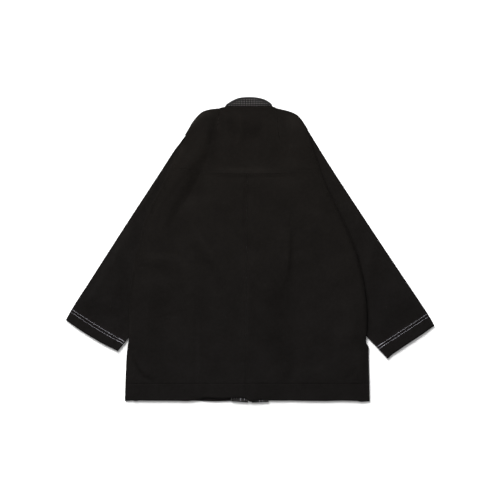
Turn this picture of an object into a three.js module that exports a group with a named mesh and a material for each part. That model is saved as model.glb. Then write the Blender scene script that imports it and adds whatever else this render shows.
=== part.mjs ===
// A jiu-jitsu gi jacket laid out flat on its front, so that its back shows.
// Millimetres. +Z is up from the surface it lies on, +Y points to the neck, -Y to the hem.
// Left and right are those of someone who looks down at the back.
import * as THREE from "three";

// Cloth
const CLOTH = 1.7; // wall of the woven cloth
const HEM_CLOTH = 2.6; // wall where the hem is turned up
const BAND_THICKNESS = 4.6; // the collar band is cloth wrapped round a core
const BAND_WIDTH = 46;
const SEAM_GAP = 0.5; // between pieces that are sewn together
const HEM_DEPTH = 49;
const CUFF_HEM = 32;

// Heights of the layers
const FOLD_RADIUS = 4.6; // outside of the bend along the shoulders
const BACK_LOW = 2 * FOLD_RADIUS - CLOTH; // underside of the back at the shoulders and over the sleeves
const MIDDLE_LOW = 5.6; // underside of the back where it lies on the fronts
const OVER_BAND = 5.2; // nothing of the back is lower than this over the band
const OVER_FRONT = 2.5; // nor lower than this over the fronts
const HEM_SETTLE = { from: -320, to: -405 }; // where the back settles towards the hem
const SIDE_LOW = 3.1; // underside of the back at the side seams below the sleeves
const SLEEVE_LOW = 2.1; // underside of a sleeve where it lies on a front
const SLEEVE_FOLD = 2.3; // outside radius of a sleeve's long edges
const SLEEVE_AIR = { edge: 1.4, middle: 3.4 }; // gap between a sleeve's two walls

// Places along the length, y
const YOKE_EDGE = 2.5; // the yoke's lower edge is turned under, so it is thicker
const YOKE_SEAM = { middle: 211, rise: 7, halfWidth: 210 };
const FRONT_SEAM = 296; // where the yoke ends on the front
const HEM = -416;
const NECKLINE = 393.4; // back neck edge of the yoke
const NECK_POINT = { left: -83, right: 72 }; // x where the shoulders meet the neck
const YOKE_BOW = 5; // how far the armhole seam bows out along the yoke

// Side edges of the body: the armhole seam down to the underarm, then the side.
const BODY_EDGE = [
  { y: 330, left: -178, right: 157 },
  { y: 300, left: -188, right: 165 },
  { y: 260, left: -203, right: 179 },
  { y: 215, left: -221, right: 195 },
  { y: 150, left: -253, right: 221 },
  { y: 96, left: -281, right: 248 },
  { y: 34, left: -299, right: 275 },
  { y: -27, left: -315, right: 297 },
  { y: -90, left: -326, right: 312 },
  { y: -170, left: -331, right: 321 },
  { y: -236, left: -331, right: 323 },
  { y: -262, left: -335, right: 322 },
  { y: -280, left: -338, right: 327 },
  { y: -330, left: -341, right: 328 },
  { y: -420, left: -344, right: 330 },
];

// Top edge of the yoke from the left armhole to the right one. On a shoulder this is the
// outside of the fold, and over the neck it is the cut edge that the band is sewn to.
const TOP_EDGE = [
  { x: -179, y: 316, place: "shoulder" },
  { x: -171, y: 329, place: "shoulder" },
  { x: -158, y: 350, place: "shoulder" },
  { x: -143, y: 367, place: "shoulder" },
  { x: -128, y: 379, place: "shoulder" },
  { x: -106, y: 385, place: "shoulder" },
  { x: NECK_POINT.left, y: 389, place: "shoulder" },
  { x: -66, y: 389, place: "neck" },
  { x: -46, y: NECKLINE, place: "neck" },
  { x: -20, y: NECKLINE, place: "neck" },
  { x: 8, y: NECKLINE, place: "neck" },
  { x: 34, y: NECKLINE, place: "neck" },
  { x: 55, y: 389, place: "neck" },
  { x: NECK_POINT.right, y: 389, place: "shoulder" },
  { x: 96, y: 384.5, place: "shoulder" },
  { x: 115, y: 379, place: "shoulder" },
  { x: 129, y: 371, place: "shoulder" },
  { x: 142, y: 357, place: "shoulder" },
  { x: 152, y: 341, place: "shoulder" },
  { x: 158, y: 331, place: "shoulder" },
];

// Sleeves. The outer edge runs straight from the shoulder to the cuff, and the inner edge
// starts at the underarm, tucked between the back and the front.
const SLEEVES = {
  left: {
    outer: [
      { x: -165.7, y: 330.7 },
      { x: -185.5, y: 302.5 },
      { x: -504.6, y: -192.5 },
    ],
    inner: [
      { x: -279, y: -20 },
      { x: -290, y: -90 },
      { x: -301, y: -160 },
      { x: -316, y: -216 },
      { x: -337, y: -246 },
      { x: -364, y: -279 },
    ],
  },
  right: {
    outer: [
      { x: 139.6, y: 353.2 },
      { x: 161.0, y: 321.8 },
      { x: 505.2, y: -207.6 },
    ],
    inner: [
      { x: 254, y: -25 },
      { x: 270, y: -90 },
      { x: 283, y: -160 },
      { x: 301, y: -213 },
      { x: 323, y: -240 },
      { x: 377, y: -298 },
    ],
  },
};

// The collar band, as sections from the end of the left lapel over the neck to the end of the
// right one. (x, y) is where the part that lies on the surface turns up, heading is the way
// that part points, in degrees from +X, fold is the angle that the band is turned over, and
// lower is the width of the part that lies on the surface.
const BAND = [
  { x: -46, y: -417.5, heading: 0, fold: 0, lower: 40 },
  { x: -54, y: -160, heading: 0, fold: 0, lower: 40 },
  { x: -62, y: 110, heading: 0, fold: 0, lower: 40 },
  { x: -68.5, y: 320, heading: -3, fold: 0, lower: 40 },
  { x: -69.6, y: 352, heading: -10, fold: 0, lower: 40 },
  { x: -70, y: 368, heading: -18, fold: 30, lower: 41 },
  { x: -68.5, y: 380, heading: -30, fold: 70, lower: 41 },
  { x: -66, y: 388, heading: -38, fold: 104, lower: 40 },
  { x: -62.5, y: 393.5, heading: -46, fold: 180, lower: 36 },
  { x: -50, y: 402.3, heading: -60, fold: 180, lower: 27 },
  { x: -31, y: 411, heading: -77, fold: 180, lower: 19.5 },
  { x: -5, y: 414.8, heading: -90, fold: 180, lower: 16 },
  { x: 24, y: 412, heading: -100, fold: 180, lower: 19 },
  { x: 41, y: 404.5, heading: -118, fold: 180, lower: 25 },
  { x: 52, y: 393.5, heading: -134, fold: 180, lower: 36 },
  { x: 55.5, y: 388, heading: -142, fold: 104, lower: 40 },
  { x: 58, y: 380, heading: -150, fold: 70, lower: 41 },
  { x: 59.5, y: 368, heading: -162, fold: 30, lower: 41 },
  { x: 59.1, y: 352, heading: -170, fold: 0, lower: 40 },
  { x: 59, y: 320, heading: -177, fold: 0, lower: 40 },
  { x: 56, y: 110, heading: -180, fold: 0, lower: 40 },
  { x: 53, y: -160, heading: -180, fold: 0, lower: 40 },
  { x: 50, y: -421, heading: -180, fold: 0, lower: 40 },
];
const BAND_TURN = 2.95; // radius of the band's fold, at the middle of its thickness
const BAND_BEND = 4; // least width that the band's finely divided stretch takes

// The largest folds: soft ridges (rise over 0) and troughs (rise under 0) from one point to another.
const FOLDS = [
  { x0: -82, y0: 352, x1: -110, y1: 242, width: 24, rise: -3.5 },
  { x0: -110, y0: 242, x1: -247, y1: 69, width: 24, rise: -4.5 },
  { x0: -192, y0: 290, x1: -270, y1: 55, width: 22, rise: 4 },
  { x0: 60, y0: 352, x1: -14, y1: 270, width: 20, rise: -3 },
  { x0: -320, y0: -25, x1: -180, y1: -11, width: 18, rise: -3 },
  { x0: -316, y0: -62, x1: -173, y1: -44, width: 22, rise: 4 },
  { x0: -152, y0: 0, x1: -82, y1: -190, width: 24, rise: -4 },
  { x0: -165, y0: 27, x1: -150, y1: -270, width: 26, rise: 4.5 },
  { x0: -5, y0: -60, x1: -14, y1: -270, width: 24, rise: 3.5 },
  { x0: 121, y0: 30, x1: 112, y1: -100, width: 20, rise: -4 },
  { x0: 90, y0: -150, x1: 66, y1: -400, width: 40, rise: -4.5 },
  { x0: 137, y0: -179, x1: 140, y1: -404, width: 26, rise: 5 },
  { x0: 179, y0: -289, x1: 206, y1: -380, width: 22, rise: -3 },
  { x0: 289, y0: -215, x1: 285, y1: -290, width: 26, rise: 3 },
  { x0: -268, y0: -120, x1: -276, y1: -260, width: 34, rise: -3.5 },
];

// How finely each piece is divided
const BACK_GRID = { across: 11, along: 27 };
const FRONT_GRID = { across: 4, along: 16 };
const YOKE_GRID = { back: 6, bend: 6, front: 3 };
const SLEEVE_GRID = { across: 8, along: 17, bend: 3 };
const BAND_GRID = { between: 2, across: 3, bend: 4 };

const BLACK_COTTON = { color: 0x1b1a18, roughness: 0.95, metalness: 0 };
const BAND_COTTON = { color: 0x2a2a2b, roughness: 0.92, metalness: 0 };

const { lerp, smoothstep, degToRad } = THREE.MathUtils;

// The value of a table's column at a place, straight between rows.
function between(rows, key, column, at) {
  const rising = rows[rows.length - 1][key] > rows[0][key];
  const sorted = rising ? rows : [...rows].reverse();
  const next = sorted.findIndex((row) => row[key] >= at);
  if (next === -1) return sorted[sorted.length - 1][column];
  if (next === 0) return sorted[0][column];
  const low = sorted[next - 1];
  const high = sorted[next];
  return lerp(low[column], high[column], (at - low[key]) / (high[key] - low[key]));
}

const bodyEdge = (side, y) => between(BODY_EDGE, "y", side, y);
const topEdge = (x) => between(TOP_EDGE, "x", "y", x);
const yokeSeam = (x) => YOKE_SEAM.middle + YOKE_SEAM.rise * (x / YOKE_SEAM.halfWidth) ** 2;
const centreSeam = (y) => lerp(-7, -13, (YOKE_SEAM.middle - y) / (YOKE_SEAM.middle - HEM));

// How far a point is inside the nearer side edge of the body; outside it is negative.
function inset(x, y) {
  return Math.min(x - bodyEdge("left", y), bodyEdge("right", y) - x);
}

// The bottom edge of the back, which lifts a little over the ends of the lapels.
function hemLine(x) {
  const bump = (middle, halfWidth) => Math.exp(-(((x - middle) / halfWidth) ** 2));
  return HEM + 5 * bump(-32, 20) - 2 * bump(2, 12) + 2 * bump(34, 12);
}

// Rise or fall of the back's cloth from its folds.
function folds(x, y) {
  let rise = 0;
  for (const fold of FOLDS) {
    const dx = fold.x1 - fold.x0;
    const dy = fold.y1 - fold.y0;
    const length = Math.hypot(dx, dy);
    const along = ((x - fold.x0) * dx + (y - fold.y0) * dy) / length;
    const away = ((x - fold.x0) * dy - (y - fold.y0) * dx) / length;
    const past = Math.max(-along, along - length, 0);
    rise += fold.rise * Math.exp(-((away / fold.width) ** 2) - (past / (1.5 * fold.width)) ** 2);
  }
  return rise;
}

// Underside of the yoke and the back above the surface.
function backLow(x, y) {
  const fromTop = smoothstep(topEdge(x) - y, 36, 95);
  const fromSide = smoothstep(inset(x, y), 8, 70);
  const overSleeve = 1 - smoothstep(inset(x, y), 50, 110);
  const level = lerp(BACK_LOW, MIDDLE_LOW, fromTop * (1 - overSleeve));
  const hem = smoothstep(-y, -HEM_SETTLE.from, -HEM_SETTLE.to);
  const freedom = fromTop * fromSide * (1 - 0.6 * hem);
  const overBand = 1 - smoothstep(Math.abs(x), 95, 130);
  const overFronts = lerp(OVER_FRONT, OVER_BAND, overBand);
  const least = Math.max(overFronts, (BACK_LOW - 0.1) * overSleeve * (1 - hem));
  const settled = Math.max(lerp(level, MIDDLE_LOW, hem) + freedom * folds(x, y), least);
  const belowSleeve = smoothstep(-y, 250, 290);
  const edge = 1 - smoothstep(inset(x, y), 0, 26);
  return lerp(settled, SIDE_LOW, belowSleeve * edge);
}

const hemWall = (distance, depth) => (distance <= depth ? HEM_CLOTH : CLOTH);

// A closed wall from a grid of cells. points[i][j] holds the outer and inner point at column i
// and row j, and has(i, j) says whether the cell between columns i, i + 1 and rows j, j + 1 is cloth.
// Seen from outside, +i is to the right of +j.
function wall(points, has = () => true) {
  const columns = points.length;
  const rows = points[0].length;
  const position = [];
  const number = new Map();
  const vertex = (i, j, side) => {
    const key = `${i},${j},${side}`;
    if (!number.has(key)) {
      number.set(key, position.length / 3);
      position.push(...points[i][j][side]);
    }
    return number.get(key);
  };
  const index = [];
  const quad = (a, b, c, d) => index.push(a, b, c, a, c, d);
  const cell = (i, j) => i >= 0 && j >= 0 && i < columns - 1 && j < rows - 1 && has(i, j);
  for (let i = 0; i < columns - 1; i++) {
    for (let j = 0; j < rows - 1; j++) {
      if (!cell(i, j)) continue;
      const outer = [
        vertex(i, j, "outer"),
        vertex(i + 1, j, "outer"),
        vertex(i + 1, j + 1, "outer"),
        vertex(i, j + 1, "outer"),
      ];
      const inner = [
        vertex(i, j, "inner"),
        vertex(i + 1, j, "inner"),
        vertex(i + 1, j + 1, "inner"),
        vertex(i, j + 1, "inner"),
      ];
      quad(...outer);
      quad(inner[3], inner[2], inner[1], inner[0]);
      const neighbours = [cell(i, j - 1), cell(i + 1, j), cell(i, j + 1), cell(i - 1, j)];
      neighbours.forEach((present, side) => {
        const end = (side + 1) % 4;
        if (!present) quad(outer[end], outer[side], inner[side], inner[end]);
      });
    }
  }
  return geometryOf(position, index);
}

// A closed wall whose sections are rings: rings[k] is a list of outer and inner points.
function tube(rings) {
  const count = rings[0].length;
  const position = [];
  for (const side of ["outer", "inner"]) {
    for (const ring of rings) {
      for (const point of ring) position.push(...point[side]);
    }
  }
  const index = [];
  const quad = (a, b, c, d) => index.push(a, b, c, a, c, d);
  const outer = (k, i) => k * count + (i % count);
  const inner = (k, i) => (rings.length + k) * count + (i % count);
  const last = rings.length - 1;
  for (let i = 0; i < count; i++) {
    for (let k = 0; k < last; k++) {
      quad(outer(k, i), outer(k, i + 1), outer(k + 1, i + 1), outer(k + 1, i));
      quad(inner(k + 1, i), inner(k + 1, i + 1), inner(k, i + 1), inner(k, i));
    }
    quad(outer(0, i + 1), outer(0, i), inner(0, i), inner(0, i + 1));
    quad(outer(last, i), outer(last, i + 1), inner(last, i + 1), inner(last, i));
  }
  return geometryOf(position, index);
}

// A solid whose sections are closed outlines.
function loft(sections) {
  const count = sections[0].length;
  const position = sections.flat(2);
  const index = [];
  const quad = (a, b, c, d) => index.push(a, b, c, a, c, d);
  const last = sections.length - 1;
  for (let k = 0; k < last; k++) {
    for (let i = 0; i < count; i++) {
      const j = (i + 1) % count;
      quad(k * count + i, k * count + j, (k + 1) * count + j, (k + 1) * count + i);
    }
  }
  // Each end is a strip between the two long faces of the section.
  for (let i = 0; i < count / 2 - 1; i++) {
    const j = count - 1 - i;
    quad(i + 1, i, j, j - 1);
    quad(last * count + i, last * count + i + 1, last * count + j - 1, last * count + j);
  }
  return geometryOf(position, index);
}

// A geometry that faces outwards, whichever way its grid ran.
function geometryOf(position, index) {
  let volume = 0;
  const corner = (k) => new THREE.Vector3().fromArray(position, 3 * index[k]);
  for (let k = 0; k < index.length; k += 3) {
    volume += corner(k).dot(corner(k + 1).cross(corner(k + 2)));
  }
  if (volume < 0) index.reverse();
  const geometry = new THREE.BufferGeometry();
  geometry.setAttribute("position", new THREE.Float32BufferAttribute(position, 3));
  geometry.setIndex(index);
  geometry.computeVertexNormals();
  return geometry;
}

function piece(name, geometry, look) {
  const mesh = new THREE.Mesh(geometry, new THREE.MeshStandardMaterial(look));
  mesh.name = name;
  return mesh;
}

// Half of the back, from its side edge to the centre-back seam.
function backHalf(side) {
  const toSeam = side === "left" ? -1 : 1;
  const edgeSteps = [0, 6, 16, 34];
  const { across, along } = BACK_GRID;
  const points = [];
  for (let i = 0; i <= across; i++) {
    const column = [];
    for (let j = 0; j <= along; j++) {
      const down = j / along;
      const level = lerp(YOKE_SEAM.middle, HEM, down);
      const edge = bodyEdge(side, level);
      const seam = centreSeam(level) + toSeam * SEAM_GAP / 2;
      const first = edgeSteps[edgeSteps.length - 1];
      const rest = (i - edgeSteps.length + 1) / (across - edgeSteps.length + 1);
      const x = i < edgeSteps.length ? edge - toSeam * edgeSteps[i] : lerp(edge - toSeam * first, seam, rest);
      const y = lerp(yokeSeam(x) - SEAM_GAP, hemLine(x), down);
      const low = backLow(x, y);
      const thickness = hemWall(y - hemLine(x), HEM_DEPTH);
      column.push({ outer: [x, y, low + thickness], inner: [x, y, low] });
    }
    points.push(column);
  }
  return wall(points);
}

// A front lies on the surface, between the side and the band.
function front(side) {
  const toSide = side === "left" ? -1 : 1;
  const { across, along } = FRONT_GRID;
  const top = FRONT_SEAM - SEAM_GAP;
  const bottom = HEM + 2;
  const points = [];
  for (let i = 0; i <= across; i++) {
    const column = [];
    for (let j = 0; j <= along; j++) {
      const y = lerp(top, bottom, j / along);
      const edge = bodyEdge(side, y) - toSide * 1.0;
      const x = lerp(edge, lapelEdge(side, y) + toSide * SEAM_GAP, i / across);
      const thickness = hemWall(y - bottom, HEM_DEPTH);
      column.push({ outer: [x, y, thickness], inner: [x, y, 0] });
    }
    points.push(column);
  }
  return wall(points);
}

// The yoke runs from its seam on the back up to the shoulders, bends over them, and ends in a
// tab on each front. Between the shoulders it stops at the neckline.
function yoke() {
  const { back, bend, front: tab } = YOKE_GRID;
  const rows = back + bend + tab;
  const first = TOP_EDGE[0].x;
  const last = TOP_EDGE[TOP_EDGE.length - 1].x;
  const seamLeft = bodyEdge("left", yokeSeam(first));
  const seamRight = bodyEdge("right", yokeSeam(last));
  const points = TOP_EDGE.map((edge, i) => {
    const before = TOP_EDGE[Math.max(i - 1, 0)];
    const after = TOP_EDGE[Math.min(i + 1, TOP_EDGE.length - 1)];
    const outward = new THREE.Vector2(before.y - after.y, after.x - before.x).normalize();
    const onShoulder = edge.place === "shoulder";
    const reach = onShoulder ? FOLD_RADIUS : 0;
    const turn = new THREE.Vector2(edge.x, edge.y).addScaledVector(outward, -reach);
    const seamX = lerp(seamLeft, seamRight, (edge.x - first) / (last - first));
    const column = [];
    for (let j = 0; j <= rows; j++) {
      if (j <= back) {
        const up = j / back;
        const across = lerp(seamX, turn.x, up);
        const bow = YOKE_BOW * up * (1 - up) * (edge.x / last);
        const x = across + bow;
        const y = lerp(yokeSeam(seamX), turn.y, up);
        const low = j === back ? BACK_LOW : backLow(x, y);
        const thickness = j === 0 ? YOKE_EDGE : CLOTH;
        column.push({ outer: [x, y, low + thickness], inner: [x, y, low] });
      } else if (j <= back + bend) {
        const angle = (Math.PI * (j - back)) / bend;
        const at = (radius) => [
          turn.x + outward.x * radius * Math.sin(angle),
          turn.y + outward.y * radius * Math.sin(angle),
          FOLD_RADIUS + radius * Math.cos(angle),
        ];
        column.push({ outer: at(FOLD_RADIUS), inner: at(FOLD_RADIUS - CLOTH) });
      } else {
        const down = (j - back - bend) / tab;
        const y = lerp(turn.y, FRONT_SEAM, down);
        const toSide = Math.sign(edge.x);
        const side = toSide < 0 ? "left" : "right";
        const outerX = bodyEdge(side, FRONT_SEAM);
        const shoulder = toSide < 0 ? first : last;
        const share = (edge.x - NECK_POINT[side]) / (shoulder - NECK_POINT[side]);
        const endX = lerp(lapelEdge(side, FRONT_SEAM) + toSide * SEAM_GAP, outerX, share);
        const x = lerp(turn.x, endX, down);
        column.push({ outer: [x, y, 0], inner: [x, y, CLOTH] });
      }
    }
    return column;
  });
  const isShoulder = (i) => TOP_EDGE[i].place === "shoulder";
  return wall(points, (i, j) => j < back || (isShoulder(i) && isShoulder(i + 1)));
}

// A place along a bent line of points, with the unit normal that points inwards.
function walk(line, distance, inwards) {
  let left = distance;
  for (let k = 0; k < line.length - 1; k++) {
    const run = new THREE.Vector2(line[k + 1].x - line[k].x, line[k + 1].y - line[k].y);
    const length = run.length();
    if (left <= length || k === line.length - 2) {
      const unit = run.divideScalar(length);
      return {
        x: line[k].x + unit.x * left,
        y: line[k].y + unit.y * left,
        inward: new THREE.Vector2(-unit.y * inwards, unit.x * inwards),
      };
    }
    left -= length;
  }
}

function lengthOf(line) {
  let length = 0;
  for (let k = 1; k < line.length; k++) {
    length += Math.hypot(line[k].x - line[k - 1].x, line[k].y - line[k - 1].y);
  }
  return length;
}

// A sleeve is a flattened tube, open at the armhole and at the cuff.
function sleeve(side) {
  const { across, along, bend } = SLEEVE_GRID;
  const { outer, inner } = SLEEVES[side];
  const turn = side === "left" ? 1 : -1;
  const outerLength = lengthOf(outer);
  const innerLength = lengthOf(inner);
  const stations = [];
  for (let k = 0; k <= along; k++) {
    const share = k / along;
    stations.push({
      outer: share * (outerLength - CUFF_HEM - 2),
      inner: share * (innerLength - CUFF_HEM - 2),
      wall: CLOTH,
    });
  }
  for (const fromCuff of [CUFF_HEM, 0]) {
    stations.push({ outer: outerLength - fromCuff, inner: innerLength - fromCuff, wall: HEM_CLOTH });
  }
  const rings = stations.map((station) => {
    const a = walk(outer, station.outer, turn);
    const b = walk(inner, station.inner, -turn);
    const toCuff = smoothstep(station.outer, outerLength - 150, outerLength - CUFF_HEM);
    const ring = [];
    const put = (x, y, direction, angle, low, high, radius) => {
      const at = (shrink) => [
        x - direction.x * (radius - shrink) * Math.sin(angle),
        y - direction.y * (radius - shrink) * Math.sin(angle),
        angle <= Math.PI / 2
          ? low + radius - (radius - shrink) * Math.cos(angle)
          : high - radius - (radius - shrink) * Math.cos(angle),
      ];
      ring.push({ outer: at(0), inner: at(station.wall) });
    };
    const radius = Math.max(SLEEVE_FOLD, station.wall + 0.5);
    const level = (u) => {
      const x = lerp(a.x, b.x, u);
      const y = lerp(a.y, b.y, u);
      const outset = -inset(x, y);
      const low = SLEEVE_LOW * (1 - smoothstep(outset, 28, 75));
      const puff = smoothstep(outset, 20, 90) * Math.min(1, 5 * u * (1 - u)) * (1 - toCuff);
      const air = lerp(SLEEVE_AIR.edge, SLEEVE_AIR.middle, puff);
      return { low, high: low + Math.max(2 * station.wall + air, 2 * radius) };
    };
    const point = (u) => {
      const ax = a.x + a.inward.x * radius;
      const ay = a.y + a.inward.y * radius;
      const bx = b.x + b.inward.x * radius;
      const by = b.y + b.inward.y * radius;
      return { x: lerp(ax, bx, u), y: lerp(ay, by, u) };
    };
    // Underneath from the outer to the inner edge, round it, and back over the top.
    const here = (u) => ({ ...point(u), ...level(u) });
    for (let i = 0; i <= across; i++) {
      const p = here(i / across);
      put(p.x, p.y, a.inward, 0, p.low, p.high, radius);
    }
    for (let i = 1; i < bend + 1; i++) {
      const p = here(1);
      put(p.x, p.y, b.inward, (Math.PI * i) / (bend + 1), p.low, p.low + 2 * radius, radius);
    }
    for (let i = across; i >= 0; i--) {
      const p = here(i / across);
      const high = i === 0 || i === across ? p.low + 2 * radius : p.high;
      put(p.x, p.y, a.inward, Math.PI, p.low, high, radius);
    }
    for (let i = bend; i > 0; i--) {
      const p = here(0);
      put(p.x, p.y, a.inward, (Math.PI * i) / (bend + 1), p.low, p.low + 2 * radius, radius);
    }
    return ring;
  });
  return tube(rings);
}

// The band's section: a strip that lies on the surface, turns up and over, and runs back on top.
function bandSection(row) {
  const angle = degToRad(row.fold);
  const heading = degToRad(row.heading);
  const half = BAND_THICKNESS / 2;
  const arc = BAND_TURN * angle;
  const bend = Math.max(arc, BAND_BEND);
  const middle = (width) => {
    if (width <= row.lower) return { along: row.lower - width, z: half, tilt: 0 };
    const tilt = Math.min((width - row.lower) / BAND_TURN, angle);
    const past = Math.max(width - row.lower - arc, 0);
    return {
      along: -BAND_TURN * Math.sin(tilt) - past * Math.cos(tilt),
      z: half + BAND_TURN * (1 - Math.cos(tilt)) + past * Math.sin(tilt),
      tilt,
    };
  };
  const widths = [];
  for (let i = 0; i < BAND_GRID.across; i++) widths.push((row.lower * i) / BAND_GRID.across);
  for (let i = 0; i <= BAND_GRID.bend; i++) widths.push(row.lower + (bend * i) / BAND_GRID.bend);
  widths.push(BAND_WIDTH);
  const place = (p, offset) => {
    const along = p.along - offset * Math.sin(p.tilt);
    return [
      row.x + along * Math.cos(heading),
      row.y + along * Math.sin(heading),
      p.z - offset * Math.cos(p.tilt),
    ];
  };
  const under = widths.map((width) => place(middle(width), half));
  const over = widths.map((width) => place(middle(width), -half)).reverse();
  return [...under, ...over];
}

// The sewn edge of a lapel at a height y, where the band lies flat.
function lapelEdge(side, y) {
  const toSide = side === "left" ? -1 : 1;
  const flat = BAND.filter((row) => row.fold === 0 && Math.sign(row.x) === toSide);
  const turn = between(flat, "y", "x", y);
  return turn + toSide * (BAND_WIDTH - between(flat, "y", "lower", y));
}

// Sections between two rows of the table.
function bandRows() {
  const rows = [];
  for (let k = 0; k < BAND.length - 1; k++) {
    for (let i = 0; i < BAND_GRID.between; i++) {
      const row = {};
      for (const key of ["x", "y", "heading", "fold", "lower"]) {
        row[key] = lerp(BAND[k][key], BAND[k + 1][key], i / BAND_GRID.between);
      }
      rows.push(row);
    }
  }
  rows.push(BAND[BAND.length - 1]);
  return rows;
}

const jacket = new THREE.Group();
jacket.add(
  piece("yoke", yoke(), BLACK_COTTON),
  piece("back_left", backHalf("left"), BLACK_COTTON),
  piece("back_right", backHalf("right"), BLACK_COTTON),
  piece("front_left", front("left"), BLACK_COTTON),
  piece("front_right", front("right"), BLACK_COTTON),
  piece("sleeve_left", sleeve("left"), BLACK_COTTON),
  piece("sleeve_right", sleeve("right"), BLACK_COTTON),
  piece("collar", loft(bandRows().map(bandSection)), BAND_COTTON),
);
export default jacket;
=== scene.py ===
import math
from functools import partial, reduce

import bpy
import numpy as np
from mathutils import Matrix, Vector
from mathutils.bvhtree import BVHTree


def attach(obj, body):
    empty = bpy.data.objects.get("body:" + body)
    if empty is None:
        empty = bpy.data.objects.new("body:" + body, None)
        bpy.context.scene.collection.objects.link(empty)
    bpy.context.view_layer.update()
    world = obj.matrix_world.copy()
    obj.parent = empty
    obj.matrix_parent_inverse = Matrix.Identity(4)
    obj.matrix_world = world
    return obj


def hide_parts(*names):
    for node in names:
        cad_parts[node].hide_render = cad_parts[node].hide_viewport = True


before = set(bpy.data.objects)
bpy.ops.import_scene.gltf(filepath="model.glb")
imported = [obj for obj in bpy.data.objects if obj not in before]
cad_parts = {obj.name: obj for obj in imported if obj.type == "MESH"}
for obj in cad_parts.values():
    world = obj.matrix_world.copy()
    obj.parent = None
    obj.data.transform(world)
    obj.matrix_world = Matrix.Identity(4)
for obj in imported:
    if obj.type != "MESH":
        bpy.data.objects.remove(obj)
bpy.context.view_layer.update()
print("frame loaded:", ", ".join(sorted(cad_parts)))

# The jacket lies on its front with the back up. All tables are in millimetres from the
# middle of the photographed field, +X to the right, +Y to the neck and +Z off the floor.
mm = 0.001
outward = {"left": -1, "right": 1}  # along X

cloth = {
    "wall": 1.7,  # woven cotton
    "hemWall": 2.6,  # where an edge is turned in
    "hemDepth": 49,
    "seamGap": 0.16,
    "edgeRound": 0.9,
    "seamRound": 0.35,  # the panels close up at seams
    "seamStart": 0.82,
    "fellWidth": 9.5,  # raised band of a felled seam
    "fellRise": 0.25,
    "fellRows": (2.0, 8.4),  # its stitch rows, from the seam
    "grid": 4.2,  # spacing of the mesh away from seams
}

layers = {
    "shoulderRadius": 4.6,
    "shoulderLow": 7.5,  # underside of the back at the shoulders and over the sleeves
    "middleLow": 5.6,
    "overBand": 5.3,
    "overFront": 2.7,
    "sideLow": 3.1,
    "rollLeft": -0.3,  # how far the body's sides stand off the sleeves
    "rollRight": 5.2,
    "rollRound": 13,
    "hemLift": 2.0,
    "endLift": 3.3,  # the lapels' ends and the front's hem beside them curl up
    "hemFrom": 320,
    "hemTo": 405,
}

body = {
    "hem": -416,
    "neckline": 394.5,
    "yokeSeam": 211,
    "yokeDrop": 3.6,  # how far the yoke's edge hangs below the seam's middle line
    "yokeSeamRise": 7,
    "yokeSeamHalf": 210,
    "frontSeam": 296,
    "neckLeft": -85,
    "neckRight": 74,
    "ventTop": -262,
    "ventFacing": 16,
}

# y, left edge, right edge: the armhole seam down to the underarm, then the side
bodyEdge = np.array([
    (-425, -344, 329), (-330, -341, 327), (-283, -338, 326), (-269, -336, 325.5), (-257.5, -334, 319),
    (-246, -332.5, 318.5), (-222, -331, 320.5), (-170, -331, 321), (-90, -326, 312), (-27, -315, 297),
    (34, -299, 275), (96, -281, 248), (150, -253, 221), (215, -221, 195), (260, -203, 179),
    (300, -188, 165), (330, -178, 157),
], float)

# x, y along the top of the yoke, from the left armhole over the neck to the right one
topEdge = np.array([
    (-179, 316), (-171, 329), (-158.5, 350.5), (-144.5, 368), (-131, 379.5), (-106, 387), (-85, 389.5),
    (-74, 392.2), (-64, 394), (-40, 394.5), (-6, 394.5), (30, 394.5), (64, 393.4), (73, 390),
    (97, 384), (115, 378.6), (129.5, 370.6), (142.5, 357), (153, 341), (159.5, 330),
], float)
neckFrom, neckTo = 6, 13  # rows where the shoulders meet the neck

# x and how far the back's hem is lifted there
hemLine = np.array([
    (-344, 1.0), (-334, 1.8), (-327, 2.8), (-324.5, 4.8), (-321, 2.4), (-315, 1.2), (-309, 1.4),
    (-304, 3.0), (-298, 2.6), (-286, 2.4), (-250, 2.2), (-200, 2.0), (-165, 1.8), (-146, 4.4),
    (-126, 9.6), (-104, 9.3), (-77, 8.2), (-55, 9.8), (-36, 9.9), (-14, 8.3), (-8, 5.0), (-3, 0.6),
    (2, -1.0), (8, -0.4), (14, 2.0), (45, 3.6), (55, 2.8), (66, 2.4), (110, 2.6), (140, 2.2),
    (200, 1.5), (290, 1.4), (296, 1.0), (301, -0.4), (325, -0.2),
], float)

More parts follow.
